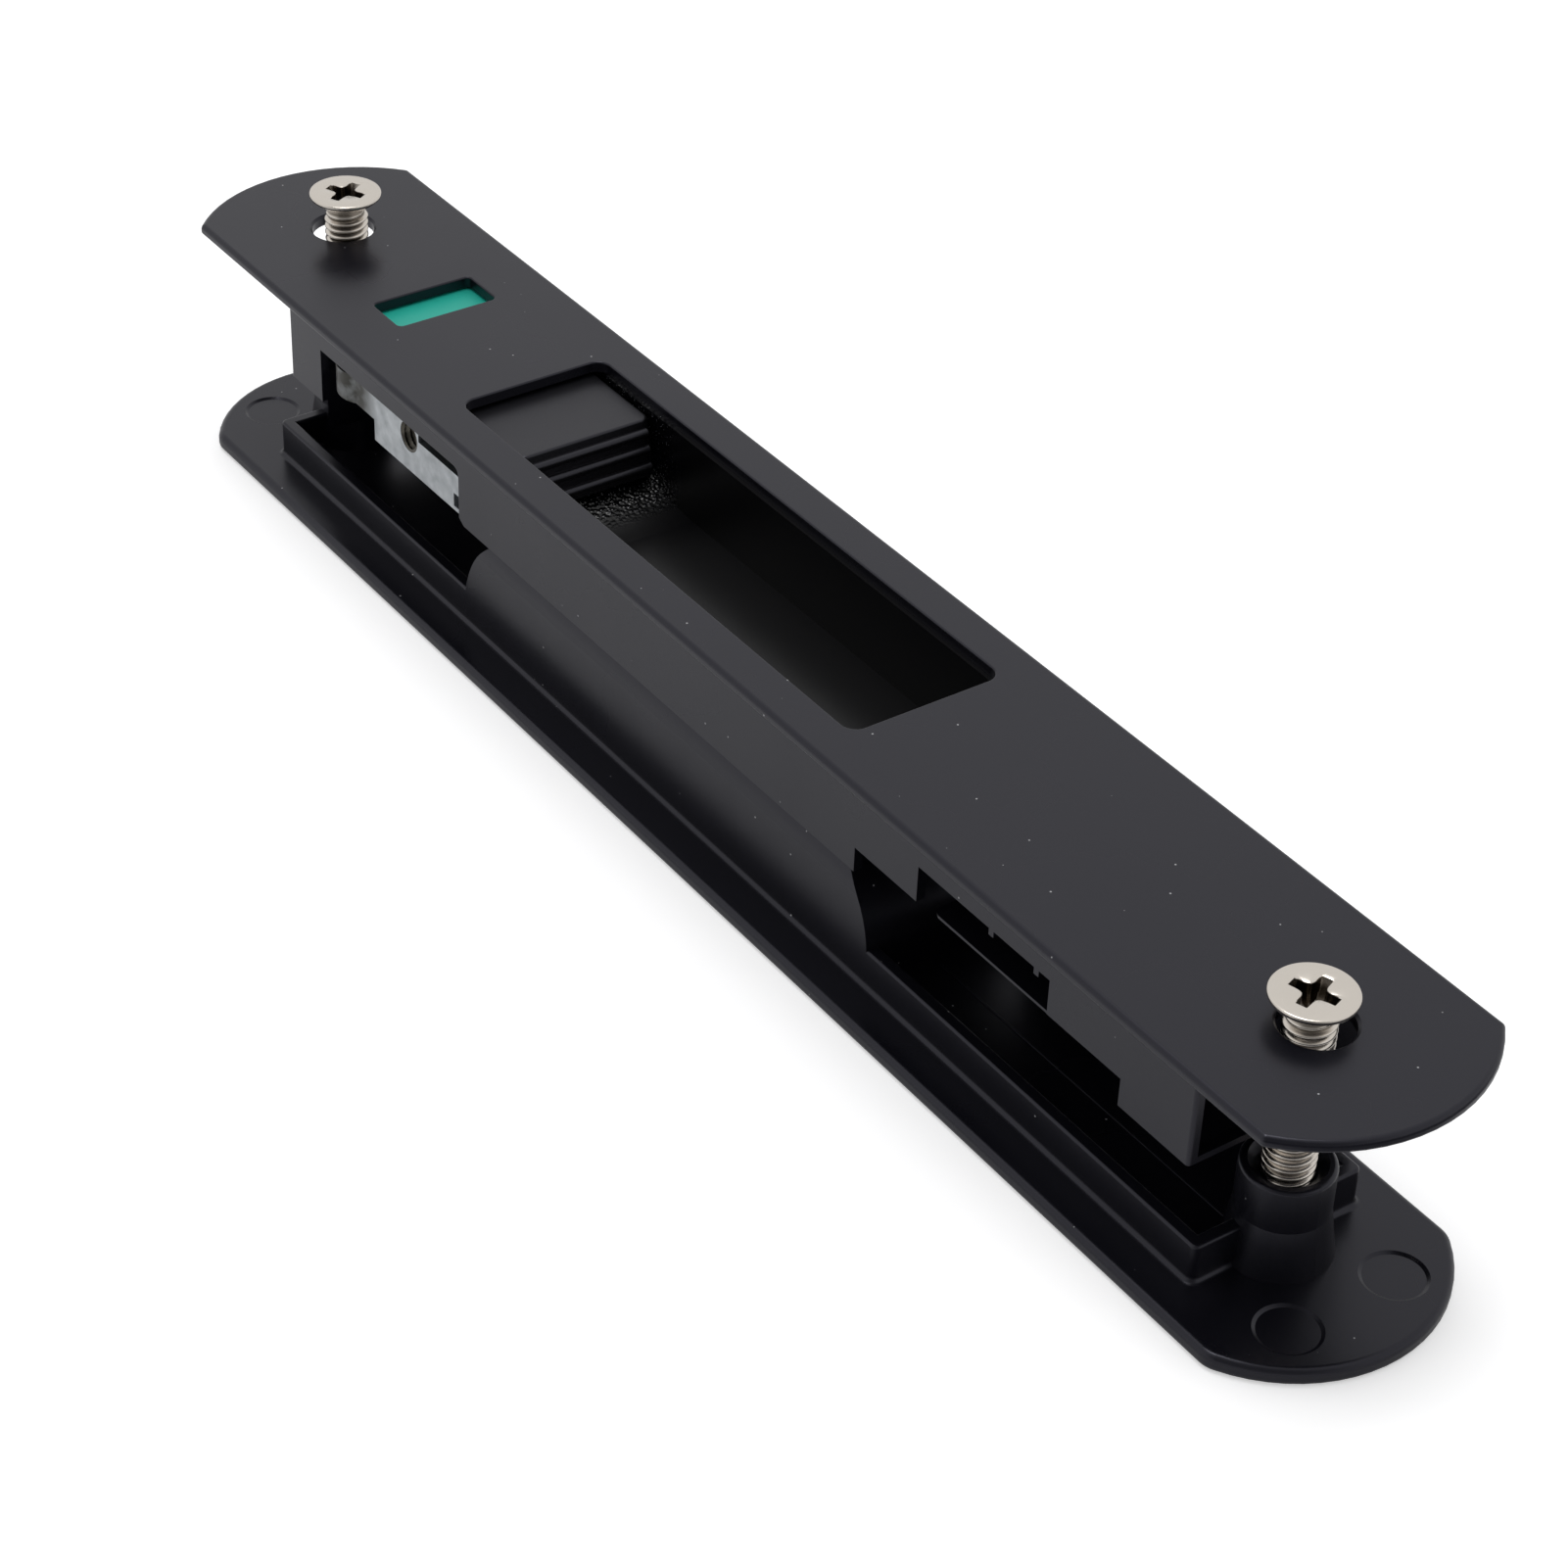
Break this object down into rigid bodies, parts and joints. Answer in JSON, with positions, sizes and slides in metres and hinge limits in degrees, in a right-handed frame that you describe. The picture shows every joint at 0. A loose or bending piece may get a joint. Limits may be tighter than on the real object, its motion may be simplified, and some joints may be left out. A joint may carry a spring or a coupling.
{
  "type": "sliding window hook lock",
  "caption": "Flush sliding window lock: arc-ended inner case with thumb slider, colour indicator and swinging hook, screwed to an outer pull plate with a finger recess.",
  "frame": {"origin": "centre of the outer pull plate's outer face, the face the lock lies on", "axes": "+X along the length, away from the hook; -Y the side the hook swings out of; +Z from the outer face to the inner face plate"},
  "size_m": [0.196, 0.0284, 0.0328],
  "materials": {
    "black_powder_coat": "fine matt powder coat",
    "black_plastic": "satin moulded",
    "green_plastic": "satin",
    "red_plastic": "satin",
    "zinc_plated_steel": "zinc plated",
    "spring_steel": "bright rolled",
    "black_oxide_steel": "black oxide",
    "cast_zinc": "as cast, tumbled",
    "nickel_steel": "bright nickel plated"
  },
  "bodies": {
    "case": {"lock_case": "black_powder_coat", "finger_cup": "black_plastic", "hook_pivot_pin": "zinc_plated_steel", "pivot_washer": "zinc_plated_steel", "bar_keeper": "zinc_plated_steel", "keeper_screws": "zinc_plated_steel", "detent_spring": "spring_steel", "cup_screws": "zinc_plated_steel", "chamber_cover": "black_powder_coat", "cover_screws": "zinc_plated_steel", "pull_plate": "black_powder_coat", "fixing_screws": "nickel_steel"},
    "slider": {"thumb_slider": "black_plastic", "slide_bar": "zinc_plated_steel", "indicator_carrier": "black_plastic", "flag_green": "green_plastic", "flag_red": "red_plastic", "slider_screws": "zinc_plated_steel"},
    "hook_arm": {"hook": "cast_zinc", "hook_drive_pin": "zinc_plated_steel", "hook_set_screw": "black_oxide_steel"}
  },
  "joints": [
    {"name": "slider_slide", "type": "slide", "parent": "case", "child": "slider", "axis": [1, 0, 0], "range_m": [0, 0.0086]},
    {"name": "hook_swing", "type": "hinge", "parent": "case", "child": "hook_arm", "pos_m": [-0.0664, -0.0064, 0.019], "axis": [0, 0, -1], "range_deg": [0, 60.5]}
  ],
  "couplings": [
    {"joint": "hook_swing", "follows": "slider_slide", "rad_per_m": 121.77}
  ]
}
